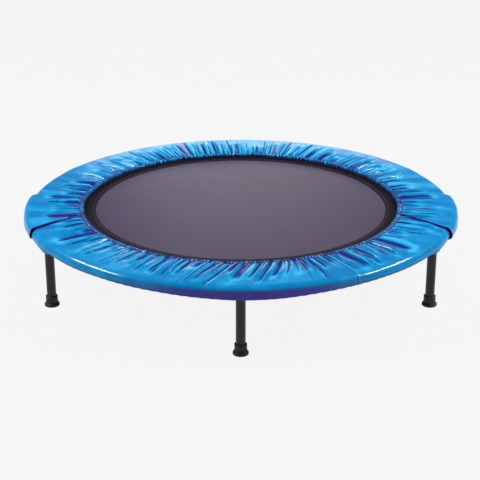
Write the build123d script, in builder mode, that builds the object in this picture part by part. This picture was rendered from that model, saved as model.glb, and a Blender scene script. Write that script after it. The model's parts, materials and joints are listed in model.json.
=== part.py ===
from build123d import *
import math
import os

os.makedirs("parts", exist_ok=True)

# The frame: millimetres, +Z up, the floor at z = 0 and the middle of the mat above the origin.
# The trampoline folds in half about the X axis: the front half is at -Y, the rear half at +Y.

# Driving dimensions
cover_outer_radius = 550.0
opening_radius = 401.0
tube_ring_radius = 527.0
tube_radius = 12.7
tube_wall = 1.5
tube_height = 156.0
mat_height = 161.5
cover_thickness = 1.6
cover_gap = 0.4
hem_height = 139.5
mat_thickness = 1.0
border_inner_radius = 378.0
border_outer_radius = 418.0
pivot_offset = 25.0
leg_azimuths = {"front": (210, 270, 330), "rear": (30, 90, 150)}
springs_per_half = 16
first_spring_azimuth = 8.0
leg_radius = 11.1
leg_top = 137.3

# Rim tube and fold hinges
tube_end = pivot_offset - 12.0
bolt_radius = 4.0
bolt_head_radius = 7.5
bolt_head_height = 3.0
hinge_washer_radius = 8.0
hinge_washer_thickness = 1.4
nut_radius = 7.4
nut_height = 8.0
face_gap = 0.2
thread_tail = 2.7
running_clearance = 0.075
plate_thickness = 2.5
plate_gap_outer = 0.8
plate_gap_inner = 1.6
bracket_half_length = 51.0
bracket_corner = 10.0
bracket_top = mat_height + 8.0
web_gap = 0.3
web_thickness = 3.0
bracket_bottom = tube_height - tube_radius - web_gap - web_thickness
web_start = pivot_offset + tube_radius + 0.5
inner_plate_radius = tube_ring_radius - tube_radius - plate_gap_inner - plate_thickness
outer_plate_radius = tube_ring_radius + tube_radius + plate_gap_outer

# Mat and springs
mat_end = pivot_offset + 0.8
border_lift = 1.0
border_edge_radius = 404.0
border_edge_thickness = 3.4
border_end = pivot_offset + 2.1
ring_wire = 1.25
ring_bar_radius = 411.0
ring_nose_radius = 431.0
ring_bar_half = 11.0
ring_nose_half = 4.5
ring_bend = 3.0
ring_slot_clearance = 0.2
staple_wire = 2.0
staple_radius = tube_ring_radius - tube_radius - 8.3
staple_half = 5.0
hook_loop = 3.9
hook_wire = 1.1
coil_radius = 4.6
coil_inner_radius = 2.8

# Legs
stud_radius = 5.0
stud_bottom = 120.0
stud_top = tube_height - tube_radius + tube_wall + 1.5
seat_radius = 12.0
seat_bottom = 139.0
seat_height = 8.0
hole_clearance = 0.05
washer_thickness = 1.5
leg_wall = 1.2
insert_length = 22.0
foot_floor = 5.0
foot_height = 26.0
foot_radius = 18.2
foot_collar_radius = 14.3

# Cover
casing_radius = 3.2
elastic_radius = 2.1
lower_casing_radius = 2.2
lower_elastic_radius = 1.3
lower_hem_radius = tube_ring_radius - seat_radius - lower_casing_radius - 0.6
cover_end_azimuth = 8.0
lap_azimuth = 22.0
lap_lift = 2.0
bulge_azimuth = 6.8
bulge_depth = 3.6
leg_hole_clearance = 0.6


def finish(builder, name):
    """Label a finished piece and write it as its own STEP file."""
    builder.part.label = name
    export_step(builder.part, f"parts/{name}.step")


def radial_plane(azimuth):
    """The upright plane through the Z axis: local x is the radius, local y the height."""
    angle = math.radians(azimuth)
    return Plane(origin=(0, 0, 0), x_dir=(math.cos(angle), math.sin(angle), 0),
                 z_dir=(math.sin(angle), -math.cos(angle), 0))


def half_start(half):
    """The azimuth where a half ring begins: +X for the rear half, -X for the front half."""
    return 0 if half == "rear" else 180


def keep_beyond(half, distance):
    """Trim a ring to the part of one half that lies more than a distance from the fold line."""
    if half == "rear":
        split(bisect_by=Plane.XZ.offset(-distance), keep=Keep.BOTTOM)
    else:
        split(bisect_by=Plane.XZ.offset(distance), keep=Keep.TOP)


def across(x, y, z):
    """A place whose own Z runs along the row's X, as the hinge bolts do."""
    return Location((x, y, z), (0, 90, 0))


def spring_places():
    """The azimuths of one half's springs, counted from the half's first end."""
    return PolarLocations(0, springs_per_half, first_spring_azimuth, 180 - 2 * first_spring_azimuth,
                          endpoint=True)


def make_rim_half(half):
    side = 1 if half == "rear" else -1
    with BuildPart() as rim:
        with BuildSketch(radial_plane(half_start(half))):
            with Locations((tube_ring_radius, tube_height)):
                Circle(tube_radius)
                Circle(tube_radius - tube_wall, mode=Mode.SUBTRACT)
        revolve(axis=Axis.Z, revolution_arc=180)
        keep_beyond(half, tube_end)
        with Locations(across(-tube_ring_radius, side * pivot_offset, mat_height),
                       across(tube_ring_radius, side * pivot_offset, mat_height)):
            Cylinder(bolt_radius + running_clearance, 4 * tube_radius, mode=Mode.SUBTRACT)
        for azimuth in leg_azimuths[half]:
            with Locations(leg_place(azimuth, tube_height - tube_radius)):
                Cylinder(stud_radius + hole_clearance, 4 * tube_wall, mode=Mode.SUBTRACT)
    finish(rim, f"{half}_rim_tube")


def leg_place(azimuth, height):
    angle = math.radians(azimuth)
    return Location((tube_ring_radius * math.cos(angle), tube_ring_radius * math.sin(angle), height))


def make_leg_studs(half):
    with BuildPart() as studs:
        for azimuth in leg_azimuths[half]:
            with Locations(leg_place(azimuth, stud_bottom)):
                Cylinder(stud_radius, stud_top - stud_bottom, align=(Align.CENTER, Align.CENTER, Align.MIN))
        chamfer(studs.faces().sort_by(Axis.Z)[:3].edges(), 1.0)
    finish(studs, f"{half}_leg_studs")


def make_leg_seats(half):
    """Welded collars that the legs screw up against, each hollowed to sit under the rim tube."""
    with BuildPart() as seats:
        for azimuth in leg_azimuths[half]:
            with Locations(leg_place(azimuth, seat_bottom)):
                Cylinder(seat_radius, seat_height, align=(Align.CENTER, Align.CENTER, Align.MIN))
                Cylinder(stud_radius + hole_clearance, seat_height,
                         align=(Align.CENTER, Align.CENTER, Align.MIN), mode=Mode.SUBTRACT)
        with BuildSketch(radial_plane(half_start(half))):
            with Locations((tube_ring_radius, tube_height)):
                Circle(tube_radius + hole_clearance)
        revolve(axis=Axis.Z, revolution_arc=180, mode=Mode.SUBTRACT)
    finish(seats, f"{half}_leg_seats")


def make_spring_staples(half):
    """Wire staples welded inside the rim tube, one for the outer hook of each spring."""
    reach = tube_ring_radius - tube_radius + 4.0 - staple_radius
    with BuildPart() as one:
        with Locations(Location((staple_radius, 0, mat_height), (90, 0, 0))):
            Cylinder(staple_wire, 2 * staple_half)
        for offset in (-staple_half, staple_half):
            with Locations((staple_radius, offset, mat_height)):
                Sphere(staple_wire)
            with Locations(across(staple_radius, offset, mat_height)):
                Cylinder(staple_wire, reach, align=(Align.CENTER, Align.CENTER, Align.MIN))
    with BuildPart() as staples:
        with Locations(Location((0, 0, 0), (0, 0, half_start(half)))):
            with spring_places():
                add(one.part)
        with BuildSketch(radial_plane(half_start(half))):
            with Locations((tube_ring_radius, tube_height)):
                Circle(tube_radius + hole_clearance)
        revolve(axis=Axis.Z, revolution_arc=180, mode=Mode.SUBTRACT)
    finish(staples, f"{half}_spring_staples")


def rod(start, end, radius):
    """A round wire between two points, with round ends."""
    direction = Vector(*end) - Vector(*start)
    with Locations(Plane(origin=start, z_dir=direction).location):
        Cylinder(radius, direction.length, align=(Align.CENTER, Align.CENTER, Align.MIN))
    with Locations(start, end):
        Sphere(radius)


def ring_corners():
    """A mat ring's four corners: its bar in the webbing and its narrower nose outside it."""
    return [(ring_bar_radius, -ring_bar_half, mat_height), (ring_bar_radius, ring_bar_half, mat_height),
            (ring_nose_radius, ring_nose_half, mat_height), (ring_nose_radius, -ring_nose_half, mat_height)]


def make_mat_ring(radius):
    """A closed wire ring with rounded corners, of a given wire radius."""
    with BuildPart() as ring:
        with BuildLine() as path:
            FilletPolyline(*ring_corners(), radius=ring_bend, close=True)
        with BuildSketch(Plane(origin=path.line @ 0, z_dir=path.line % 0)):
            Circle(radius)
        sweep(transition=Transition.RIGHT)
    return ring.part


def make_mat_rings(half, wire_ring):
    with BuildPart() as rings:
        with Locations(Location((0, 0, 0), (0, 0, half_start(half)))):
            with spring_places():
                add(wire_ring)
    finish(rings, f"{half}_mat_rings")


def make_springs(half):
    """Extension springs with a round hook at each end: the coil is a sleeve of its outer shape."""
    coil_start = ring_nose_radius + hook_loop + hook_wire + 1.5
    coil_end = staple_radius - hook_loop - hook_wire - 1.5
    with BuildPart() as one:
        with Locations(across(coil_start, 0, mat_height)):
            Cylinder(coil_radius, coil_end - coil_start, align=(Align.CENTER, Align.CENTER, Align.MIN))
            Cylinder(coil_inner_radius, coil_end - coil_start, align=(Align.CENTER, Align.CENTER, Align.MIN),
                     mode=Mode.SUBTRACT)
        for hook, coil_face in ((ring_nose_radius, coil_start), (staple_radius, coil_end)):
            with Locations(Location((hook, 0, mat_height), (90, 0, 0))):
                Torus(hook_loop, hook_wire)
            inward = 1 if coil_face > hook else -1
            shank_start = (hook + inward * hook_loop, 0, mat_height)
            shank_end = (coil_face + inward * 2.0, 0, mat_height)
            rod(shank_start, shank_end, hook_wire)
            with Locations(across(coil_face + inward * 1.0, 0, mat_height)):
                Cylinder(coil_radius - 0.3, 2.0)
    with BuildPart() as springs:
        with Locations(Location((0, 0, 0), (0, 0, half_start(half)))):
            with spring_places():
                add(one.part)
    finish(springs, f"{half}_springs")


def border_profile():
    """The webbing band around the mat, with its thick rolled outer edge: radius and height."""
    top = mat_height + mat_thickness / 2
    edge_top = mat_height + border_edge_thickness / 2
    edge_bottom = mat_height - border_edge_thickness / 2
    with BuildSketch() as profile:
        with BuildLine():
            Polyline((border_inner_radius, top), (border_inner_radius, top + border_lift),
                     (border_edge_radius, top + border_lift), (border_edge_radius, edge_top),
                     (border_outer_radius, edge_top), (border_outer_radius, edge_bottom),
                     (border_edge_radius, edge_bottom), (border_edge_radius, top), close=True)
        make_face()
    return profile.sketch


def make_border(half, ring_slot):
    profile = border_profile()
    with BuildPart() as border:
        with BuildSketch(radial_plane(half_start(half))):
            add(profile)
        revolve(axis=Axis.Z, revolution_arc=180)
        keep_beyond(half, border_end)
        with Locations(Location((0, 0, 0), (0, 0, half_start(half)))):
            with spring_places():
                add(ring_slot, mode=Mode.SUBTRACT)
    finish(border, f"{half}_mat_border")


def make_mat(half):
    with BuildPart() as mat:
        with BuildSketch(Plane.XY.offset(mat_height - mat_thickness / 2)):
            Circle(border_edge_radius - 0.2)
        extrude(amount=mat_thickness)
        keep_beyond(half, mat_end)
    finish(mat, f"{half}_mat")


def make_middle_mat():
    """The strip of the mat between the two fold lines, and the webbing at its two ends."""
    with BuildPart() as mat:
        with BuildSketch(Plane.XY.offset(mat_height - mat_thickness / 2)):
            Circle(border_edge_radius - 0.2)
            Rectangle(2 * border_outer_radius, 2 * (2 * pivot_offset - mat_end), mode=Mode.INTERSECT)
        extrude(amount=mat_thickness)
    finish(mat, "middle_mat")
    profile = border_profile()
    with BuildPart() as border:
        with BuildSketch(radial_plane(0)):
            add(profile)
        revolve(axis=Axis.Z)
        with Locations((0, 0, mat_height)):
            Box(3 * border_outer_radius, 2 * (2 * pivot_offset - border_end), 20, mode=Mode.INTERSECT)
    finish(border, "middle_mat_border")


def make_hinge_bracket(name, side):
    """A steel channel round the rim tube's ends, open at the top, with a stop web at each end."""
    with BuildPart() as bracket:
        with BuildSketch(Plane.XY.offset(bracket_bottom)):
            Circle(outer_plate_radius + plate_thickness)
            Circle(outer_plate_radius, mode=Mode.SUBTRACT)
            Circle(inner_plate_radius + plate_thickness)
            Circle(inner_plate_radius, mode=Mode.SUBTRACT)
        extrude(amount=bracket_top - bracket_bottom)
        with BuildSketch(Plane.XY.offset(bracket_bottom)):
            Circle(outer_plate_radius + plate_thickness / 2)
            Circle(inner_plate_radius + plate_thickness / 2, mode=Mode.SUBTRACT)
            Rectangle(3 * cover_outer_radius, 2 * web_start, mode=Mode.SUBTRACT)
        extrude(amount=web_thickness)
        with Locations((side * tube_ring_radius, 0, tube_height)):
            Box(2 * bracket_half_length, 2 * bracket_half_length, 2 * bracket_half_length, mode=Mode.INTERSECT)
        ends = bracket.faces().filter_by(Axis.Y).filter_by(
            lambda face: abs(abs(face.center().Y) - bracket_half_length) < 0.1)
        corners = ends.edges().filter_by(Axis.X).filter_by(lambda edge: edge.center().Z > bracket_top - 0.1)
        fillet(corners, bracket_corner)
        with Locations(*[across(side * tube_ring_radius, y, mat_height) for y in (-pivot_offset, pivot_offset)]):
            Cylinder(bolt_radius + running_clearance, 60, mode=Mode.SUBTRACT)
    finish(bracket, name)


def bolt_faces():
    """The radii of the bracket's outer face and inner face at the bolts."""
    outer = math.sqrt((outer_plate_radius + plate_thickness) ** 2 - (pivot_offset - bolt_head_radius) ** 2)
    inner = math.sqrt(inner_plate_radius ** 2 - (pivot_offset + hinge_washer_radius) ** 2)
    return outer, inner


def bolt_axes():
    """The side and the Y of each hinge bolt."""
    return [(side, y) for side in (-1, 1) for y in (-pivot_offset, pivot_offset)]


def make_hinge_bolts():
    """Round-headed pivot bolts, each head outside the rim and the thread towards the mat."""
    outer, inner = bolt_faces()
    shank_start = inner - 3 * face_gap - hinge_washer_thickness - nut_height - thread_tail
    shank_end = outer + face_gap
    with BuildPart() as bolts:
        for side, y in bolt_axes():
            with Locations(across(side * (shank_end + shank_start) / 2, y, mat_height)):
                Cylinder(bolt_radius, shank_end - shank_start)
            with Locations(across(side * (shank_end + bolt_head_height / 2), y, mat_height)):
                Cylinder(bolt_head_radius, bolt_head_height)
        heads = [edge for edge in bolts.edges().filter_by(GeomType.CIRCLE)
                 if abs(edge.radius - bolt_head_radius) < 0.01 and abs(edge.center().X) > outer + 1]
        fillet(heads, bolt_head_height - 0.6)
    finish(bolts, "hinge_bolts")


def make_hinge_washers():
    inner = bolt_faces()[1]
    with BuildPart() as washers:
        for side, y in bolt_axes():
            with Locations(across(side * (inner - face_gap - hinge_washer_thickness / 2), y, mat_height)):
                Cylinder(hinge_washer_radius, hinge_washer_thickness)
                Cylinder(bolt_radius + face_gap, hinge_washer_thickness, mode=Mode.SUBTRACT)
    finish(washers, "hinge_washers")


def make_hinge_nuts():
    nut_face = bolt_faces()[1] - 2 * face_gap - hinge_washer_thickness
    with BuildPart() as nuts:
        for side, y in bolt_axes():
            with BuildSketch(Plane(origin=(side * nut_face, y, mat_height), z_dir=(-side, 0, 0))):
                RegularPolygon(nut_radius, 6)
                Circle(bolt_radius + hole_clearance, mode=Mode.SUBTRACT)
            extrude(amount=nut_height)
    finish(nuts, "hinge_nuts")


def cover_profile(lift=0.0, depth=0.0, hemmed=True):
    """The cover's section: from the inner hem, over the rim tube and down its outside.

    A hemmed section also turns under the rim, and has a casing for elastic at each edge.
    """
    top = tube_height + tube_radius + cover_gap + cover_thickness + lift
    outer = cover_outer_radius + depth
    t = cover_thickness
    hem_x = opening_radius + casing_radius
    hem_z = top - casing_radius - 0.4
    shoulder = tube_radius + cover_gap + t
    knee = (outer - shoulder, top)
    side = (outer, top - shoulder)
    middle = (outer - shoulder * (1 - math.sqrt(0.5)), top - shoulder * (1 - math.sqrt(0.5)))
    inner_middle = (outer - t - (shoulder - t) * (1 - math.sqrt(0.5)),
                    top - t - (shoulder - t) * (1 - math.sqrt(0.5)))
    with BuildSketch() as profile:
        with BuildLine():
            Line((hem_x, top), knee)
            ThreePointArc(knee, middle, side)
            if hemmed:
                Polyline(side, (outer, hem_height), (lower_hem_radius, hem_height),
                         (lower_hem_radius, hem_height + t), (outer - t, hem_height + t),
                         (outer - t, top - shoulder))
            else:
                Polyline(side, (outer, hem_height), (outer - t, hem_height),
                         (outer - t, top - shoulder))
            ThreePointArc((outer - t, top - shoulder), inner_middle, (knee[0], top - t))
            Polyline((knee[0], top - t), (hem_x, top - t), (hem_x, top))
        make_face()
        if hemmed:
            with Locations((hem_x, hem_z)):
                Circle(casing_radius)
                Circle(elastic_radius + 0.1, mode=Mode.SUBTRACT)
            with Locations((lower_hem_radius, hem_height + lower_casing_radius)):
                Circle(lower_casing_radius)
                Circle(lower_elastic_radius + 0.1, mode=Mode.SUBTRACT)
    return profile.sketch


def make_cover(half):
    """A half of the vinyl cover, with a hole for each leg in the part that wraps under the rim."""
    start = half_start(half) + cover_end_azimuth
    profile = cover_profile()
    with BuildPart() as cover:
        with BuildSketch(radial_plane(start)):
            add(profile)
        revolve(axis=Axis.Z, revolution_arc=180 - 2 * cover_end_azimuth)
        for azimuth in leg_azimuths[half]:
            with Locations(leg_place(azimuth, hem_height)):
                Cylinder(seat_radius + leg_hole_clearance, 4 * lower_casing_radius, mode=Mode.SUBTRACT)
    finish(cover, f"{half}_cover")
    hem = (opening_radius + casing_radius,
           tube_height + tube_radius + cover_gap + cover_thickness - casing_radius - 0.4)
    make_elastic(f"{half}_hem_elastic", start, 180 - 2 * cover_end_azimuth, hem, elastic_radius)
    lower_hem = (lower_hem_radius, hem_height + lower_casing_radius)
    make_elastic(f"{half}_lower_elastic", start, 180 - 2 * cover_end_azimuth, lower_hem, lower_elastic_radius)


def make_elastic(name, start, arc, centre, radius):
    with BuildPart() as elastic:
        with BuildSketch(radial_plane(start)):
            with Locations(centre):
                Circle(radius)
        revolve(axis=Axis.Z, revolution_arc=arc)
    finish(elastic, name)


def make_cover_flap(name, side):
    """The end of the rear cover that laps over a hinge and over the end of the front cover."""
    bulge = cover_profile(lap_lift, lap_lift + bulge_depth, hemmed=False)
    lap = cover_profile(lap_lift, lap_lift, hemmed=False)
    stretches = ((-bulge_azimuth, cover_end_azimuth - 0.1, bulge), (-lap_azimuth, -bulge_azimuth, lap))
    with BuildPart() as flap:
        for first, last, profile in stretches:
            start = first if side > 0 else 180 - last
            with BuildSketch(radial_plane(start)):
                add(profile)
            revolve(axis=Axis.Z, revolution_arc=last - first)
    finish(flap, name)


def make_leg(number, azimuth):
    place = leg_place(azimuth, 0)
    centre = (place.position.X, place.position.Y)
    with BuildPart() as washer:
        with BuildSketch(Plane.XY.offset(leg_top + 0.1)):
            with Locations(centre):
                Circle(leg_radius)
                Circle(stud_radius + 0.3, mode=Mode.SUBTRACT)
        extrude(amount=washer_thickness)
    finish(washer, f"leg_{number}_washer")
    with BuildPart() as tube:
        with BuildSketch(Plane.XY.offset(foot_floor)):
            with Locations(centre):
                Circle(leg_radius)
                Circle(leg_radius - leg_wall, mode=Mode.SUBTRACT)
        extrude(amount=leg_top - foot_floor)
        fillet(tube.edges().group_by(Axis.Z)[-1].sort_by(SortBy.RADIUS)[-1], 0.5)
    finish(tube, f"leg_{number}_tube")
    with BuildPart() as insert:
        with BuildSketch(Plane.XY.offset(leg_top - insert_length)):
            with Locations(centre):
                Circle(leg_radius - leg_wall - 0.02)
                Circle(stud_radius + running_clearance, mode=Mode.SUBTRACT)
        extrude(amount=insert_length)
    finish(insert, f"leg_{number}_insert")
    with BuildPart() as foot:
        with BuildSketch(Plane(origin=(*centre, 0), x_dir=(1, 0, 0), z_dir=(0, -1, 0))):
            with BuildLine():
                Polyline((0, 0), (foot_radius - 1, 0), (foot_radius, 1), (foot_radius, 5),
                         (foot_radius - 0.7, 6), (foot_collar_radius + 0.6, 10),
                         (foot_collar_radius, 12), (foot_collar_radius, foot_height - 1),
                         (foot_collar_radius - 1, foot_height), (leg_radius + 0.02, foot_height),
                         (leg_radius + 0.02, foot_floor), (0, foot_floor), close=True)
            make_face()
        revolve(axis=Axis((*centre, 0), (0, 0, 1)))
    finish(foot, f"leg_{number}_foot")


ring_wire_solid = make_mat_ring(ring_wire)
ring_slot_solid = make_mat_ring(ring_wire + ring_slot_clearance)
for half_name in ("front", "rear"):
    make_rim_half(half_name)
    make_leg_studs(half_name)
    make_leg_seats(half_name)
    make_spring_staples(half_name)
    make_springs(half_name)
    make_mat_rings(half_name, ring_wire_solid)
    make_border(half_name, ring_slot_solid)
    make_mat(half_name)
    make_cover(half_name)
make_middle_mat()
make_hinge_bracket("left_hinge_bracket", -1)
make_hinge_bracket("right_hinge_bracket", 1)
make_hinge_bolts()
make_hinge_washers()
make_hinge_nuts()
make_cover_flap("left_cover_flap", -1)
make_cover_flap("right_cover_flap", 1)
for leg_number, leg_azimuth in enumerate(leg_azimuths["rear"] + leg_azimuths["front"], start=1):
    make_leg(leg_number, leg_azimuth)
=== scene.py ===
import json
import math

import bpy
import numpy as np
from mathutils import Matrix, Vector


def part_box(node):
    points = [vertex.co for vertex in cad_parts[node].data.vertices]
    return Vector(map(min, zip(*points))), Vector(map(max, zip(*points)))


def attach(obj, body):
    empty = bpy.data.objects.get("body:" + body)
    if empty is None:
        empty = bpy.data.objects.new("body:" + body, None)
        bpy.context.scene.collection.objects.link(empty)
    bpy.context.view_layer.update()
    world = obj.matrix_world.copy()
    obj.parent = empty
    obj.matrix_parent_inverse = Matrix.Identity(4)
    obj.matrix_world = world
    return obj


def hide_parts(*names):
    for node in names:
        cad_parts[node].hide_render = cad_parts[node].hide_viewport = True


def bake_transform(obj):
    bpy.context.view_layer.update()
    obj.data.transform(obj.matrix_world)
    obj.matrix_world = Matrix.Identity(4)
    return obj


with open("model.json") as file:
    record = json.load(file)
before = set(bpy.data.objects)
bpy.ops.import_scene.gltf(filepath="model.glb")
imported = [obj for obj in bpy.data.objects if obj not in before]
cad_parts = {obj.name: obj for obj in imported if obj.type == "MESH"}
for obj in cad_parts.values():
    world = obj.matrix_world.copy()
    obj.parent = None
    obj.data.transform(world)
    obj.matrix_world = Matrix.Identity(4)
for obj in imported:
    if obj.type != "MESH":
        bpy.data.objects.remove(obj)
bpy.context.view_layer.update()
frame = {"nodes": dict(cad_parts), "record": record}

# ---------------------------------------------------------------- sizes, in metres, from the frame
cover_low, cover_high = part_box("front_cover")
elastic_low, elastic_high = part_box("front_hem_elastic")
rim_low, rim_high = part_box("front_rim_tube")
mat_low, mat_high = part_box("front_mat")
border_low, border_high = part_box("front_mat_border")
flap_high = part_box("right_cover_flap")[1]

OUTER = -cover_low.y                             # outer radius of the cover
TOP = cover_high.z                               # top of the cover over the rim
HEM_BOTTOM = cover_low.z                         # lower edge of the side band
TUBE_Z = (rim_low.z + rim_high.z) / 2
RIM_THICKNESS = rim_high.z - rim_low.z
RIM_RADIUS = -rim_low.y - RIM_THICKNESS / 2
ELASTIC_RADIUS = (elastic_high.z - elastic_low.z) / 2
HEM_RADIUS = -elastic_low.y - ELASTIC_RADIUS     # the elastic's centre line
HEM_Z = (elastic_low.z + elastic_high.z) / 2
LIFT = flap_high.z - TOP                         # the rear cover's ends lie this much higher
BULGE = flap_high.x - OUTER                      # and stand this far out over the hinges
MAT_TOP = mat_high.z
MAT_THICKNESS = mat_high.z - mat_low.z
BORDER_OUTER = -border_low.y
BORDER_WIDTH = 0.048                             # width of the webbing that shows on top of the mat
ROLLED_WIDTH = 0.014                             # of it, the rolled edge that holds the wire rings
BORDER_INNER = BORDER_OUTER - BORDER_WIDTH
BORDER_EDGE = BORDER_OUTER - ROLLED_WIDTH
BORDER_LIFT = 0.0010                             # the webbing lies this much above the mat
EDGE_LOW, EDGE_HIGH = border_low.z, border_high.z
FOLDS = [next(j for j in frame["record"]["behaviour"]["joints"] if j["name"] == name)["pos_m"][1]
         for name in ("fold_front", "fold_rear")]   # the y of each fold line
LAP = 22.0                                       # degrees that the rear cover laps in front of a hinge
LAP_RUN_BACK = 9.0                               # degrees that the lapped edge runs back from edge to hem
FRONT_END = 8.0                                  # degrees in front of a hinge where the front cover ends
FRONT_SEAM = 298.5                               # azimuth of the sewn joint in the front cover
PAINTED_SHEEN_MIDDLE = 90                                 # painted sheen: the cover is painted paler round this azimuth; painted shade: its side band is painted violet round this one
PAINTED_SHADE_MIDDLE = 271                              # band violet round this one, as the photo's light shows them
VINYL_THICKNESS = 0.0008
SHARP_ANGLE = math.radians(55)                   # edges sharper than this aren't shaded smooth


# ---------------------------------------------------------------- small tools
def smooth(low, high, x):
    """0 below low, 1 above high, smooth between."""
    t = np.clip((x - low) / (high - low), 0, 1)
    return t * t * (3 - 2 * t)


class Ripple:
    """Smooth random values round a circle, between -1 and 1, through evenly spaced knots."""

    def __init__(self, seed, knots):
        self.values = np.random.default_rng(seed).uniform(-1, 1, knots)
        self.knots = knots

    def __call__(self, turns):
        x = (turns % 1.0) * self.knots
        i = np.floor(x).astype(int)
        t = x - i
        t = t * t * (3 - 2 * t)
        return self.values[i % self.knots] * (1 - t) + self.values[(i + 1) % self.knots] * t


def mesh_object(name, points, faces, smooth_shading=True):
    mesh = bpy.data.meshes.new(name)
    mesh.from_pydata([tuple(p) for p in points], [], faces)
    mesh.update()
    if smooth_shading:
        mesh.polygons.foreach_set("use_smooth", [True] * len(mesh.polygons))
    piece = bpy.data.objects.new(name, mesh)
    bpy.context.scene.collection.objects.link(piece)
    return piece


def grid_object(name, grid, closed=False):
    """A piece from an array of points [rows, columns, 3]."""
    rows, columns = grid.shape[:2]
    index = np.arange(rows * columns).reshape(rows, columns)
    following = np.roll(index, -1, axis=0) if closed else index[1:]
    start = index if closed else index[:-1]
    faces = np.stack([start[:, :-1], following[:, :-1], following[:, 1:], start[:, 1:]], axis=-1)
    return mesh_object(name, grid.reshape(-1, 3), faces.reshape(-1, 4).tolist())


def point_values(piece, name, values):
    """Store one number for each vertex, which a material reads as an attribute."""
    layer = piece.data.attributes.new(name, "FLOAT", "POINT")
    layer.data.foreach_set("value", np.asarray(values, np.float32).ravel())


def thicken(piece, thickness, offset=-1.0):
    solid = piece.modifiers.new("thickness", "SOLIDIFY")
    solid.thickness = thickness
    solid.offset = offset
    apply_modifiers(piece)
    piece.data.set_sharp_from_angle(angle=SHARP_ANGLE)


def apply_modifiers(piece):
    graph = bpy.context.evaluated_depsgraph_get()
    mesh = bpy.data.meshes.new_from_object(piece.evaluated_get(graph))
    piece.modifiers.clear()
    piece.data = mesh


# ---------------------------------------------------------------- materials
def new_material(name):
    material = bpy.data.materials.new(name)
    material.use_nodes = True
    tree = material.node_tree
    return material, tree.nodes, tree.links, tree.nodes["Principled BSDF"]


def node(nodes, kind, **inputs):
    made = nodes.new(kind)
    for key, value in inputs.items():
        made.inputs[key.replace("_", " ")].default_value = value
    return made


def ramp(nodes, links, source, stops):
    """A colour ramp with the given (place, colour) stops, fed by a socket."""
    made = nodes.new("ShaderNodeValToRGB")
    elements = made.color_ramp.elements
    while len(elements) < len(stops):
        elements.new(0.5)
    for element, (place, colour) in zip(elements, stops):
        element.position = place
        element.color = (*colour, 1.0)
    links.new(source, made.inputs["Fac"])
    return made.outputs["Color"]


def bump(nodes, links, shader, height, strength, distance):
    made = node(nodes, "ShaderNodeBump", Strength=strength, Distance=distance)
    links.new(height, made.inputs["Height"])
    previous = shader.inputs["Normal"].links
    if previous:
        links.new(previous[0].from_socket, made.inputs["Normal"])
    links.new(made.outputs["Normal"], shader.inputs["Normal"])


def object_noise(nodes, links, scale, detail=4.0, stretch=None):
    coordinates = nodes.new("ShaderNodeTexCoord")
    noise = node(nodes, "ShaderNodeTexNoise", Scale=scale, Detail=detail)
    socket = coordinates.outputs["Object"]
    if stretch:
        mapping = node(nodes, "ShaderNodeMapping", Scale=stretch)
        links.new(socket, mapping.inputs["Vector"])
        socket = mapping.outputs["Vector"]
    links.new(socket, noise.inputs["Vector"])
    return noise.outputs["Fac"]


def vinyl_material():
    """Glossy blue vinyl, coloured by painted shading: painted violet shade in its creases and on its front
    band, painted highlights on its ridges and a painted sheen at the rear.
    """
    material, nodes, links, shader = new_material("cover_vinyl")
    # the crease attribute holds painted shade and painted highlights, not a colour of the vinyl
    crease = nodes.new("ShaderNodeAttribute")
    crease.attribute_name = "crease"
    mottle = nodes.new("ShaderNodeMath")
    mottle.operation = "MULTIPLY_ADD"
    links.new(object_noise(nodes, links, 26.0, 5.0), mottle.inputs[0])
    mottle.inputs[1].default_value = 0.36
    mottle.inputs[2].default_value = -0.18
    total = nodes.new("ShaderNodeMath")
    total.operation = "ADD"
    links.new(crease.outputs["Fac"], total.inputs[0])
    links.new(mottle.outputs["Value"], total.inputs[1])
    # painted shading into colour: violet painted shade at 0, up to pale blue painted highlights at 1
    colour = ramp(nodes, links, total.outputs["Value"],
                  [(0.0, (0.010, 0.004, 0.075)), (0.14, (0.001, 0.012, 0.120)), (0.32, (0.0, 0.045, 0.200)),
                   (0.52, (0.0, 0.100, 0.300)), (0.76, (0.0, 0.190, 0.430)), (1.0, (0.024, 0.330, 0.600))])
    # the violet attribute mixes in more painted violet shade
    violet = nodes.new("ShaderNodeAttribute")
    violet.attribute_name = "violet"
    mix = nodes.new("ShaderNodeMix")
    mix.data_type = "RGBA"
    links.new(violet.outputs["Fac"], mix.inputs[0])
    links.new(colour, mix.inputs[6])
    mix.inputs[7].default_value = (0.050, 0.026, 0.300, 1)
    links.new(mix.outputs[2], shader.inputs["Base Color"])
    shader.inputs["Roughness"].default_value = 0.36
    shader.inputs["Specular IOR Level"].default_value = 0.04
    shader.inputs["Coat Weight"].default_value = 0.34
    shader.inputs["Coat Roughness"].default_value = 0.09
    bump(nodes, links, shader, object_noise(nodes, links, 900.0, 3.0), 0.05, 0.0003)
    bump(nodes, links, shader, object_noise(nodes, links, 60.0, 4.0), 0.05, 0.0015)
    return material


def mat_material():
    """Tightly woven jumping cloth."""
    material, nodes, links, shader = new_material("mat_fabric")
    coordinates = nodes.new("ShaderNodeTexCoord")
    height = None
    for direction in ("X", "Y"):
        threads = node(nodes, "ShaderNodeTexWave", Scale=260.0, Distortion=0.6, Detail=1.0)
        threads.bands_direction = direction
        links.new(coordinates.outputs["Object"], threads.inputs["Vector"])
        if height is None:
            height = threads.outputs["Fac"]
        else:
            both = nodes.new("ShaderNodeMath")
            both.operation = "MULTIPLY"
            links.new(height, both.inputs[0])
            links.new(threads.outputs["Fac"], both.inputs[1])
            height = both.outputs["Value"]
    colour = ramp(nodes, links, object_noise(nodes, links, 14.0, 6.0),
                  [(0.3, (0.016, 0.005, 0.034)), (0.7, (0.022, 0.008, 0.042))])
    links.new(colour, shader.inputs["Base Color"])
    shader.inputs["Roughness"].default_value = 0.30
    shader.inputs["Specular IOR Level"].default_value = 0.28
    bump(nodes, links, shader, height, 0.35, 0.0004)
    return material


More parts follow.
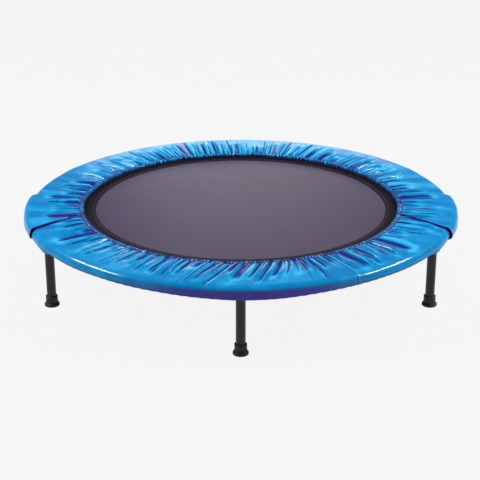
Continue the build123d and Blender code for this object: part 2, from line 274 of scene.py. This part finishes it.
def webbing_material():
    material, nodes, links, shader = new_material("webbing")
    colour = ramp(nodes, links, object_noise(nodes, links, 120.0, 3.0),
                  [(0.3, (0.004, 0.002, 0.005)), (0.7, (0.008, 0.005, 0.010))])
    links.new(colour, shader.inputs["Base Color"])
    shader.inputs["Roughness"].default_value = 0.60
    shader.inputs["Specular IOR Level"].default_value = 0.04
    rings = node(nodes, "ShaderNodeTexWave", Scale=420.0, Distortion=0.3)
    rings.wave_type = "RINGS"
    rings.rings_direction = "Z"
    coordinates = nodes.new("ShaderNodeTexCoord")
    links.new(coordinates.outputs["Object"], rings.inputs["Vector"])
    bump(nodes, links, shader, rings.outputs["Fac"], 0.4, 0.0004)
    return material


def painted_material():
    """Black powder coat with a faint orange peel and a violet cast."""
    material, nodes, links, shader = new_material("black_paint")
    colour = ramp(nodes, links, object_noise(nodes, links, 40.0, 5.0),
                  [(0.3, (0.016, 0.006, 0.019)), (0.7, (0.023, 0.010, 0.028))])
    links.new(colour, shader.inputs["Base Color"])
    shader.inputs["Roughness"].default_value = 0.34
    shader.inputs["Specular IOR Level"].default_value = 0.30
    bump(nodes, links, shader, object_noise(nodes, links, 1400.0, 2.0), 0.18, 0.0002)
    return material


def rubber_material():
    material, nodes, links, shader = new_material("foot_rubber")
    colour = ramp(nodes, links, object_noise(nodes, links, 90.0, 5.0),
                  [(0.3, (0.008, 0.006, 0.009)), (0.7, (0.014, 0.011, 0.015))])
    links.new(colour, shader.inputs["Base Color"])
    shader.inputs["Roughness"].default_value = 0.55
    shader.inputs["Specular IOR Level"].default_value = 0.30
    bump(nodes, links, shader, object_noise(nodes, links, 2200.0, 2.0), 0.3, 0.0002)
    return material


def zinc_material():
    material, nodes, links, shader = new_material("zinc_steel")
    colour = ramp(nodes, links, object_noise(nodes, links, 220.0, 5.0),
                  [(0.3, (0.42, 0.43, 0.45)), (0.7, (0.60, 0.61, 0.62))])
    links.new(colour, shader.inputs["Base Color"])
    shader.inputs["Metallic"].default_value = 1.0
    shader.inputs["Roughness"].default_value = 0.33
    bump(nodes, links, shader, object_noise(nodes, links, 1200.0, 2.0), 0.1, 0.0002)
    return material


def elastic_material():
    material, nodes, links, shader = new_material("elastic")
    colour = ramp(nodes, links, object_noise(nodes, links, 400.0, 3.0),
                  [(0.3, (0.05, 0.05, 0.06)), (0.7, (0.09, 0.09, 0.10))])
    links.new(colour, shader.inputs["Base Color"])
    shader.inputs["Roughness"].default_value = 0.8
    bump(nodes, links, shader, object_noise(nodes, links, 900.0, 2.0), 0.4, 0.0004)
    return material


def nylon_material():
    material, nodes, links, shader = new_material("washer_nylon")
    colour = ramp(nodes, links, object_noise(nodes, links, 150.0, 3.0),
                  [(0.3, (0.03, 0.03, 0.035)), (0.7, (0.05, 0.05, 0.055))])
    links.new(colour, shader.inputs["Base Color"])
    shader.inputs["Roughness"].default_value = 0.5
    bump(nodes, links, shader, object_noise(nodes, links, 900.0, 2.0), 0.2, 0.0002)
    return material


materials = {"cover_vinyl": vinyl_material(), "mat_fabric": mat_material(), "webbing": webbing_material(),
             "black_paint": painted_material(), "foot_rubber": rubber_material(),
             "zinc_steel": zinc_material(), "elastic": elastic_material(), "washer_nylon": nylon_material()}


def dress(piece, slot):
    """Give a piece the material of one of the record's slots."""
    piece.data.materials.clear()
    piece.data.materials.append(materials[slot])


node_slots = {part["node"]: part["material_slot"] for part in frame["record"]["subparts"]}
for name, cad_node in frame["nodes"].items():
    cad_node.data.materials.clear()
    cad_node.data.materials.append(materials[node_slots[name]])


# ---------------------------------------------------------------- the gathered cover
CORNER = 0.0150          # radius of the cover's upper outer corner
CROWN_RADIUS = 0.500     # the top is level from here to the corner
HEM_DROP = 0.0030        # how much lower than the crown the sheet is at the inner hem
HEM_ROLL = 0.0031        # radius of the hem where it wraps its elastic
HEM_COLUMNS = 15
LOWER_TURN = 0.0025      # radius of the turn under the rim
UNDER_EDGE = 0.5123      # radius of the cover's edge under the rim
LEG_NOTCH = 0.5402       # radius that the edge keeps outside at each leg
HEM_END = HEM_RADIUS + 0.0042
LEG_AZIMUTHS = (30, 90, 150, 210, 270, 330)
RIM_CLEARANCE = 0.0016   # the cover's top stays this far off the rim tube


def cover_line():
    """The cover's section without its gathers: radius and height at each column, from hem to edge."""
    hem = [(HEM_RADIUS + HEM_ROLL * math.cos(a), HEM_Z + HEM_ROLL * math.sin(a))
           for a in np.radians(np.linspace(-110, -320, HEM_COLUMNS))]
    radii = HEM_END + (OUTER - CORNER - HEM_END) * np.linspace(0, 1, 46) ** 1.1
    top = [(r, TOP - HEM_DROP * (1 - smooth(HEM_END, CROWN_RADIUS, r))) for r in radii]
    corner = [(OUTER - CORNER + CORNER * math.sin(a), TOP - CORNER + CORNER * math.cos(a))
              for a in np.linspace(0, math.pi / 2, 10)[1:]]
    side = [(OUTER, z) for z in np.linspace(TOP - CORNER, HEM_BOTTOM + LOWER_TURN, 9)[1:]]
    turn = [(OUTER - LOWER_TURN + LOWER_TURN * math.cos(a),
             HEM_BOTTOM + LOWER_TURN - LOWER_TURN * math.sin(a))
            for a in np.linspace(0, math.pi / 2, 5)[1:]]
    under = [(r, HEM_BOTTOM) for r in np.linspace(OUTER - LOWER_TURN, UNDER_EDGE, 9)[1:]]
    return np.array(hem + top + corner + side + turn + under)


def line_normals(line):
    step = np.gradient(line, axis=0)
    normal = np.stack([-step[:, 1], step[:, 0]], axis=1)
    return normal / np.linalg.norm(normal, axis=1)[:, None]


def gathers(azimuth, radius, seed):
    """Height of the gathers in metres, and the painted shading of each point: painted shade down to 0 in a
    crease, 1 on a crest, painted highlights above.
    """
    turns = azimuth / 360.0
    out = (radius - HEM_END) / (OUTER - HEM_END)              # 0 at the hem, 1 at the outer edge
    drift_one, drift_two = Ripple(seed, 23), Ripple(seed + 1, 61)
    past = (azimuth - 272) / np.where(azimuth > 272, 13.0, 19.0)
    slant = 0.0175 * np.exp(-past ** 4) + 0.0050 * drift_one(turns)   # the front's folds lean to the left
    course = turns + slant * out + 0.0016 * drift_two(turns + 0.5 * slant) * out
    height = np.zeros_like(out)
    painted_shading = 0.70 + 0.15 * Ripple(seed + 2, 140)(course + 0.01 * out)
    layers = (
        # folds in the circle, height, width of the crease, first and last share of the width
        (52, 0.0100, 0.0024, -0.06, 1.26),
        (118, 0.0080, 0.0019, -0.16, 1.12),
        (196, 0.0046, 0.0015, -0.24, 0.60),
        (330, 0.0020, 0.0010, -0.34, 0.26),
    )
    for order, (count, depth, width, first, last) in enumerate(layers):
        wander = Ripple(seed + 10 + order, count)
        strength = Ripple(seed + 20 + order, count)
        reach = Ripple(seed + 30 + order, count)
        phase = course * count + 0.42 * wander(course)
        cell = np.floor(phase) / count
        size = 0.66 + 0.34 * strength(cell)
        end = last * (0.70 + 0.30 * reach(cell)) * (0.70 + 0.30 * np.sin(np.radians(azimuth)) ** 4)
        window = smooth(first, first + 0.14, out) * (1 - smooth(end - 0.32, end, out))
        away = (phase - np.floor(phase) - 0.5) / count * 2 * math.pi * radius
        away = away * np.where(reach(cell + 0.37) > 0, 1, -1) / (width * (1.15 - 0.55 * out.clip(0, 1)))
        bed = 1 - np.exp(-np.abs(away) / np.where(away > 0, 3.4, 1.7))
        height += depth * size * window * (bed - 0.45)
        # painted shade in each crease and down one flank, a painted highlight along the ridge beside it, and
        # painted light where the two larger layers of folds end
        crease = np.exp(-away ** 2)
        flank = np.exp(-away.clip(0, None) / 2.6) * (away > 0)
        ridge = np.exp(-((away + 2.5) / 1.1) ** 2)
        lit_end = np.exp(-(away / 5.0) ** 2) * np.exp(-((out - end + 0.10) / 0.07) ** 2)
        painted_shading = painted_shading + window * size * (0.42 * ridge - 1.0 * crease - 0.26 * flank)
        painted_shading = painted_shading + 0.32 * size * lit_end * (order < 2)
    return height, painted_shading.clip(0, 1.1)


def hem_ruffles(azimuth, seed):
    """The ruffles of the hem, drawn up tight by its elastic: height, and painted shading that is dark between
    the beads.
    """
    turns = azimuth / 360.0
    phase = turns * 310 + 0.9 * Ripple(seed + 40, 150)(turns)
    bead = np.abs(np.sin(math.pi * phase)) ** 0.8
    size = 0.72 + 0.28 * Ripple(seed + 41, 310)(turns)
    # painted shade between the beads, lighter on them
    return 0.0026 * size * (bead - 0.45), -0.12 + 1.15 * size * bead ** 3


def seam_groove(azimuth, radius, at):
    """A sewn joint across the sheet: a narrow groove beside a low ridge."""
    along = np.radians(azimuth - at) * radius
    return -0.0011 * np.exp(-(along / 0.0012) ** 2) + 0.0006 * np.exp(-((along - 0.003) / 0.0018) ** 2)


def from_hinge(azimuth):
    """Degrees behind the nearer hinge, negative in front of it."""
    return np.degrees(np.arcsin(np.sin(np.radians(azimuth))))


def from_leg(azimuth):
    """Degrees from the nearest leg, to either side."""
    return np.min([np.abs((azimuth - leg + 180) % 360 - 180) for leg in LEG_AZIMUTHS], axis=0)


def leg_notch(azimuth):
    """How far the edge under the rim is drawn out past a leg: 0 between the legs, 1 at a leg."""
    return 1 - smooth(1.5, 2.3, from_leg(azimuth))


def lowest_top(radius):
    """The lowest height of the cover's top: the webbing, the springs and the rim are under it."""
    clear_radius = RIM_THICKNESS / 2 + RIM_CLEARANCE
    over_rim = TUBE_Z + np.sqrt(np.clip(clear_radius ** 2 - (radius - RIM_RADIUS) ** 2, 0, None))
    level = MAT_TOP + 0.0026 + 0.0020 * smooth(BORDER_OUTER, BORDER_OUTER + 0.015, radius)
    return np.where(radius < RIM_RADIUS, np.maximum(level, over_rim), over_rim)


def near_leg(azimuth, width):
    """1 at a leg, falling to 0 within a few times width degrees."""
    return np.exp(-(from_leg(azimuth) / width) ** 2)


def drawn_up(azimuth):
    """How far the lower elastic draws the side band's bottom edge up, in metres."""
    front = smooth(-8, -20, from_hinge(azimuth)) * (1 - np.exp(-((azimuth - 270) / 26) ** 2))
    return (0.0018 + 0.0105 * front) * (1 - 0.25 * near_leg(azimuth, 3.0))


def tucked_in(azimuth, laps):
    """How far the outer edge is drawn in towards the rim, in metres; not at the hinges, and less at a leg."""
    behind = from_hinge(azimuth)
    rear = (0.0038 + 0.0042 * smooth(60, 20, behind)) * smooth(4.4, 6.6, behind)
    front = 0.0050 * (1 - np.exp(-((azimuth - 270) / 30) ** 2)) * (not laps)
    return (rear + front) * (1 - 0.35 * near_leg(azimuth, 4.0))


def lap_limit(out):
    """Where the rear cover's lapped edge lies, in degrees from the hinge: it runs back towards the hem."""
    return -LAP + LAP_RUN_BACK * (1 - np.clip(out, 0, 1)) ** 1.3


def cover_sheet(name, first, last, seed, laps, seams=(), steps_per_degree=9):
    """A stretch of the cover from one azimuth to another, as a sheet with its gathers."""
    line = cover_line()
    normals = line_normals(line)
    count = int(round((last - first) * steps_per_degree)) + 1
    out = (line[None, :, 0] - HEM_END) / (OUTER - HEM_END)
    share = np.linspace(0, 1, count)[:, None]
    start, stop = first + 0 * out, last + 0 * out
    if first == -LAP:
        start = lap_limit(out)
    if last == 180 + LAP:
        stop = 180 - lap_limit(out)
    azimuth = start + (stop - start) * share
    edge = start if first == -LAP else stop if last == 180 + LAP else np.full_like(out, -90.0)
    columns = np.arange(len(line))[None, :]
    in_hem = columns < HEM_COLUMNS
    past_edge = columns >= np.argmax(line[:, 0] > OUTER - 0.006)
    under = line[None, :, 1] < HEM_BOTTOM + 0.0001
    radius = np.broadcast_to(line[None, :, 0], (count, len(line)))
    flat_radius = np.broadcast_to(np.where(past_edge, OUTER, line[None, :, 0]), radius.shape)
    height, painted_shading = gathers(azimuth, flat_radius, seed)
    fine, ruffle_painted_shading = hem_ruffles(azimuth, seed)
    flat_top = (1 - smooth(OUTER - 0.019, OUTER - 0.006, line[None, :, 0])) * (1 - past_edge)
    settled = 1 - 0.62 * smooth(0.50, 0.88, out)
    height = height * smooth(HEM_END - 0.001, HEM_END + 0.012, flat_radius) * flat_top * settled
    near_hem = 1 - smooth(HEM_END, HEM_END + 0.007, flat_radius)
    height = np.where(in_hem, fine, height + 0.8 * fine * near_hem)
    stitched = np.exp(-((flat_radius - HEM_END) / 0.0011) ** 2)
    top_painted_shading = painted_shading * (1 - near_hem) + ruffle_painted_shading * near_hem - 0.5 * stitched
    painted_shading = np.where(in_hem, ruffle_painted_shading, top_painted_shading)
    # painted shade: the side band is painted darker towards its bottom, under the rim
    band = 0.56 + 0.20 * smooth(HEM_BOTTOM, TOP - CORNER, line[None, :, 1])
    painted_shading = band + (painted_shading - band) * flat_top
    # painted sheen: the top is painted paler round the rear middle
    painted_rear_sheen = np.exp(-((azimuth - PAINTED_SHEEN_MIDDLE) / 40) ** 2) * (1 - past_edge)
    painted_shading = painted_shading + 0.21 * painted_rear_sheen
    # painted shade: the side band is painted violet round the front middle, and the darkest creases get some
    # violet too
    middle = 1 - smooth(13.0, 34.0, np.abs(azimuth - PAINTED_SHADE_MIDDLE))
    violet = past_edge * middle * smooth(TOP - 0.005, TOP - 0.014, line[None, :, 1])
    violet = np.maximum(0.95 * violet, 0.25 * (1 - past_edge) * smooth(0.22, 0.0, painted_shading))
    for seam in seams:
        groove = seam_groove(azimuth, radius, seam)
        height = height + groove
        # painted shade in the seam's groove and a painted highlight on its ridge
        painted_shading = painted_shading + 320 * groove
    slack = Ripple(seed + 50, 40)(azimuth / 360.0) * 0.0007 + Ripple(seed + 51, 9)(azimuth / 360.0) * 0.0008
    height = height + past_edge * slack * smooth(TOP, TOP - 0.012, line[None, :, 1])
    r = line[None, :, 0] + normals[None, :, 0] * height
    z = line[None, :, 1] + normals[None, :, 1] * height
    on_top = (~in_hem) & (line[None, :, 1] > TUBE_Z)
    z = np.where(on_top, np.maximum(z, lowest_top(r)), z)
    low_share = np.clip((TOP - CORNER - line[None, :, 1]) / (TOP - CORNER - HEM_BOTTOM), 0, 1)
    under_share = np.clip((line[None, :, 0] - UNDER_EDGE) / (OUTER - UNDER_EDGE), 0, 1)
    z = z + drawn_up(azimuth) * np.where(under, under_share ** 2.5, low_share)
    beyond_crown = smooth(CROWN_RADIUS, OUTER - 0.003, line[None, :, 0])
    r = r - tucked_in(azimuth, laps) * np.where(under, under_share, beyond_crown)
    notched = np.maximum(r, LEG_NOTCH)
    r = np.where(under, r + (notched - r) * leg_notch(azimuth), r)
    z = z + under * 0.0004 * np.sin(np.radians(azimuth) * 150)
    if laps:
        behind = from_hinge(azimuth)
        raised = 1 - smooth(4.4, 6.8, behind)
        over_hinge = 0.6 * np.exp(-(behind / 5.0) ** 4)
        lap_edge = smooth(1.6, 0.0, behind - from_hinge(edge)) * smooth(0.0, 0.6, out)
        outward = smooth(CROWN_RADIUS, OUTER, radius)
        z = z + (LIFT * raised + 0.0016 * lap_edge) * smooth(HEM_BOTTOM, TOP, line[None, :, 1])
        r = r + outward * (0.4 * BULGE * over_hinge + 0.0012 * lap_edge)
        z = z + 0.0022 * over_hinge * smooth(0.47, 0.53, radius) * (1 - smooth(0.545, 0.5501, radius))
        # painted shade along the lapped edge
        painted_shading = painted_shading * (1 - 0.75 * lap_edge ** 3)
    else:
        reach = 0.8 + 2.4 * np.exp(-((out - 0.28) / 0.18) ** 2)
        shaded = smooth(reach, 0.0, lap_limit(out) - from_hinge(azimuth)) * smooth(0.02, 0.10, out)
        painted_shading = painted_shading * (1 - 0.9 * shaded)
        violet = np.maximum(violet, 0.4 * shaded)
    angle = np.radians(azimuth)
    grid = np.stack([r * np.cos(angle), r * np.sin(angle), z], axis=-1)
    piece = grid_object(name, grid)
    # crease carries the painted shade and painted highlights, violet the painted violet shade
    point_values(piece, "crease", painted_shading)
    point_values(piece, "violet", violet)
    thicken(piece, VINYL_THICKNESS)
    dress(piece, "cover_vinyl")
    return piece


front_cover = cover_sheet("front_cover_vinyl", 180 + FRONT_END, 360 - FRONT_END, seed=11, laps=False,
                          seams=(FRONT_SEAM,))
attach(front_cover, "front_frame")
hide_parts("front_cover")

rear_cover = cover_sheet("rear_cover_vinyl", 0, 180, seed=47, laps=True)
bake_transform(rear_cover)
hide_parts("rear_cover")

for side, first, last in (("right", -LAP, 0), ("left", 180, 180 + LAP)):
    flap = cover_sheet(f"{side}_cover_flap_vinyl", first, last, seed=47, laps=True)
    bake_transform(flap)
    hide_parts(f"{side}_cover_flap")


# ---------------------------------------------------------------- the mat and its webbing
MAT_RADIUS = BORDER_EDGE
STITCH_ROWS = (BORDER_INNER + 0.0035, BORDER_INNER + 0.0075, BORDER_EDGE - 0.0030)
STITCH_PITCH = 0.0070


def mat_sheet(name, low, high):
    """The jumping cloth between two lines of constant y, which are the frame's fold lines."""
    lines = np.arcsin(np.clip(np.array([low, high]) / MAT_RADIUS, -0.9999, 0.9999))
    rows = max(7, int(abs(lines[1] - lines[0]) * 60))
    y = MAT_RADIUS * np.sin(np.linspace(*lines, rows))[:, None]
    x = np.sqrt(MAT_RADIUS ** 2 - y ** 2) * np.linspace(-1, 1, 121)[None, :]
    z = np.full_like(x, MAT_TOP - MAT_THICKNESS / 2)
    piece = grid_object(name, np.stack([x, y + 0 * x, z], axis=-1))
    thicken(piece, MAT_THICKNESS, 0.0)
    dress(piece, "mat_fabric")
    return piece


def border_line():
    """The webbing's section, from under the mat round its rolled outer edge to its inner edge on top."""
    roll = (EDGE_HIGH - EDGE_LOW) / 2
    middle = (EDGE_HIGH + EDGE_LOW) / 2
    mat_under = MAT_TOP - MAT_THICKNESS
    below = [(r, mat_under - BORDER_LIFT) for r in np.linspace(BORDER_INNER + 0.004, BORDER_EDGE, 5)]
    edge = [(BORDER_OUTER - roll + roll * math.sin(a), middle - roll * math.cos(a))
            for a in np.linspace(0, math.pi, 11)]
    on_top = [(r, MAT_TOP + BORDER_LIFT) for r in np.linspace(BORDER_EDGE, BORDER_INNER, 14)]
    inner = [(BORDER_INNER - 0.0002, MAT_TOP + BORDER_LIFT * 0.4), (BORDER_INNER, MAT_TOP - 0.0002)]
    return np.array(below + edge + on_top + inner)


def stitch_dent(radius, along):
    """A row of stitches pulls the webbing down between its threads."""
    dent = 0 * along
    for row in STITCH_ROWS:
        dent = dent - 0.0004 * np.exp(-((radius - row) / 0.0008) ** 2) * (0.6 + 0.4 * np.cos(along))
    return dent


def arc_of_border(radius, low, high, side):
    """First and last azimuth, in radians, of the border between two lines of constant y."""
    first, last = np.arcsin(np.clip(low / radius, -1, 1)), np.arcsin(np.clip(high / radius, -1, 1))
    if side == "left":
        return math.pi - last, math.pi - first
    return first, last


def border_sheet(name, low, high):
    """The webbing round the mat between two lines of constant y: one arc, or one at each side."""
    line = border_line()
    radius = line[None, :, 0]
    arcs = []
    if low >= 0 or high <= 0:
        fold = np.arcsin(min(abs(low), abs(high)) / radius)
        start = fold if low >= 0 else math.pi + fold
        arcs.append((start, start + math.pi - 2 * fold, 720))
    else:
        arcs += [(*arc_of_border(radius, low, high, side), 21) for side in ("right", "left")]
    pieces = []
    for first, last, count in arcs:
        share = np.linspace(0, 1, count)[:, None]
        angle = first + (last - first) * share
        z = line[None, :, 1] + stitch_dent(radius, angle * radius / STITCH_PITCH * 2 * math.pi) * (
            line[None, :, 1] > MAT_TOP)
        grid = np.stack([radius * np.cos(angle), radius * np.sin(angle), z + 0 * angle], axis=-1)
        pieces.append(grid_object(name, grid))
    border = join(pieces, name)
    dress(border, "webbing")
    return border


def join(pieces, name):
    """One object from several."""
    points, faces = [], []
    for piece in pieces:
        start = len(points)
        points += [v.co[:] for v in piece.data.vertices]
        faces += [[start + i for i in face.vertices] for face in piece.data.polygons]
        bpy.data.objects.remove(piece)
    return mesh_object(name, points, faces)


def stitching(name, low, high):
    """Short raised threads along each row of stitches."""
    points, faces = [], []
    for row in STITCH_ROWS:
        count = int(2 * math.pi * row / STITCH_PITCH)
        for turn in range(count):
            middle = (turn + 0.5) / count * 2 * math.pi
            half = 0.36 * STITCH_PITCH / row
            y = row * math.sin(middle)
            if not low + 0.004 < y < high - 0.004:
                continue
            start = len(points)
            for end, lift in ((-1.0, 0.0), (-0.55, 1.0), (0.55, 1.0), (1.0, 0.0)):
                angle = middle + end * half
                for across, up in ((-1, 0.0), (-0.5, 0.9), (0.5, 0.9), (1, 0.0)):
                    r = row + across * 0.0005
                    points.append((r * math.cos(angle), r * math.sin(angle),
                                   MAT_TOP + BORDER_LIFT - 0.0003 + 0.0006 * up * lift))
            for i in range(3):
                for j in range(3):
                    a = start + 4 * i + j
                    faces.append([a, a + 4, a + 5, a + 1])
    piece = mesh_object(name, points, faces)
    piece.data.materials.append(thread_material)
    return piece


thread_material, nodes, links, shader = new_material("thread")
thread_colour = ramp(nodes, links, object_noise(nodes, links, 500.0, 3.0),
                     [(0.3, (0.045, 0.035, 0.050)), (0.7, (0.085, 0.070, 0.095))])
links.new(thread_colour, shader.inputs["Base Color"])
shader.inputs["Roughness"].default_value = 0.6
bump(nodes, links, shader, object_noise(nodes, links, 2400.0, 2.0), 0.3, 0.0002)


strips = (("front", -MAT_RADIUS, FOLDS[0]), ("middle", FOLDS[0], FOLDS[1]), ("rear", FOLDS[1], MAT_RADIUS))
for part, low, high in strips:
    body = f"mat_{part}"
    cloth = mat_sheet(f"{part}_mat_cloth", low, high)
    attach(cloth, body)
    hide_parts(f"{part}_mat")
    reach = (low if part != "front" else -1.0, high if part != "rear" else 1.0)
    webbing = border_sheet(f"{part}_mat_webbing", *reach)
    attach(webbing, body)
    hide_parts(f"{part}_mat_border")
    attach(stitching(f"{part}_mat_stitching", *reach), body)


# ---------------------------------------------------------------- the springs
WIRE = 0.0011                                    # radius of the wire
COIL_RADIUS = 0.0035
HOOK_RADIUS = 0.0039
SPRING_Z = (EDGE_LOW + EDGE_HIGH) / 2
SPRING_AZIMUTHS = np.linspace(8, 172, 16)
INNER_HOOK = 0.431                               # distance from the middle to the mat's wire rings
OUTER_HOOK = -rim_low.y - RIM_THICKNESS - 0.0083   # and to the staples inside the rim
HOOK_GAP = HOOK_RADIUS + WIRE + 0.0015           # from a hook's middle to the first turn


def spring_path():
    """The spring's wire along +X at the height of the mat: a hook, close turns and a hook."""
    start, end = INNER_HOOK + HOOK_GAP, OUTER_HOOK - HOOK_GAP
    turns = int((end - start) / (2.04 * WIRE))
    open_hook = np.radians(np.linspace(245, 0, 22))
    inner = [(INNER_HOOK + HOOK_RADIUS * math.cos(a), 0, HOOK_RADIUS * math.sin(a)) for a in open_hook]
    winding = [(start + (end - start) * s, COIL_RADIUS * math.sin(2 * math.pi * turns * s),
                COIL_RADIUS * math.cos(2 * math.pi * turns * s)) for s in np.linspace(0, 1, turns * 14 + 1)]
    outer = [(OUTER_HOOK - HOOK_RADIUS * math.cos(a), 0, -HOOK_RADIUS * math.sin(a)) for a in open_hook[::-1]]
    return np.array(inner + winding[3:-3] + outer)


def wire_grid(path, radius, sides=6):
    """Rings of points round a path, with frames carried along it."""
    tangent = np.gradient(path, axis=0)
    tangent /= np.linalg.norm(tangent, axis=1)[:, None]
    across = np.zeros_like(path)
    side = np.cross(tangent[0], (0, 1, 0.2))
    for i, direction in enumerate(tangent):
        side = side - direction * np.dot(side, direction)
        side /= np.linalg.norm(side)
        across[i] = side
    other = np.cross(tangent, across)
    around = np.linspace(0, 2 * math.pi, sides + 1)[None, :, None]
    ring = np.cos(around) * across[:, None, :] + np.sin(around) * other[:, None, :]
    return path[:, None, :] + radius * ring


spring_grid = wire_grid(spring_path(), WIRE)
for half, start_angle in (("rear", 0), ("front", 180)):
    for number, azimuth in enumerate(SPRING_AZIMUTHS + start_angle, start=1):
        angle = math.radians(azimuth)
        turned = spring_grid @ np.array([[math.cos(angle), math.sin(angle), 0],
                                         [-math.sin(angle), math.cos(angle), 0], [0, 0, 1]])
        spring = grid_object(f"{half}_spring_{number}", turned + np.array([0, 0, SPRING_Z]))
        dress(spring, "zinc_steel")
        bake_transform(spring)
        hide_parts(f"{half}_springs")


# ---------------------------------------------------------------- camera, floor and light
def add_light(name, location, target, energy, size, size_y):
    """A soft rectangular lamp that the camera doesn't see."""
    data = bpy.data.lights.new(name, "AREA")
    data.energy = energy
    data.shape = "RECTANGLE"
    data.size = size
    data.size_y = size_y
    lamp = bpy.data.objects.new(name, data)
    lamp.location = location
    lamp.rotation_euler = (Vector(target) - Vector(location)).to_track_quat("-Z", "Y").to_euler()
    lamp.visible_camera = False
    bpy.context.scene.collection.objects.link(lamp)


camera_data = bpy.data.cameras.new("camera")
camera_data.lens = 96.84
camera_data.sensor_width = 36
camera_data.shift_x = -0.0015
camera = bpy.data.objects.new("camera", camera_data)
camera.location = (0, -3.115, 1.295)
camera.rotation_euler = (math.radians(68.45), 0, 0)
bpy.context.scene.collection.objects.link(camera)
bpy.context.scene.camera = camera

floor = mesh_object("floor", [(-30, -30, 0), (30, -30, 0), (30, 30, 0), (-30, 30, 0)], [(0, 1, 2, 3)])
floor_material, nodes, links, shader = new_material("floor")
shader.inputs["Base Color"].default_value = (0.02, 0.02, 0.02, 1)
shader.inputs["Roughness"].default_value = 0.9
shader.inputs["Emission Color"].default_value = (1, 1, 1, 1)
shader.inputs["Specular IOR Level"].default_value = 0.0
shader.inputs["Emission Strength"].default_value = 0.893
floor.data.materials.append(floor_material)

world = bpy.data.worlds.new("studio")
world.use_nodes = True
world.node_tree.nodes["Background"].inputs["Color"].default_value = (0.96, 0.97, 1.0, 1)
world.node_tree.nodes["Background"].inputs["Strength"].default_value = 0.16
bpy.context.scene.world = world

centre = (0, 0, 0.15)
for side in (-1, 1):
    add_light("side_lamp", (side * 2.4, 0.15, 2.3), centre, 128, 1.8, 0.4)
add_light("back_lamp", (0, 4.2, 1.0), (0, 0, 0.17), 12.5, 1.8, 1.0)

bpy.context.scene.view_settings.view_transform = "Standard"
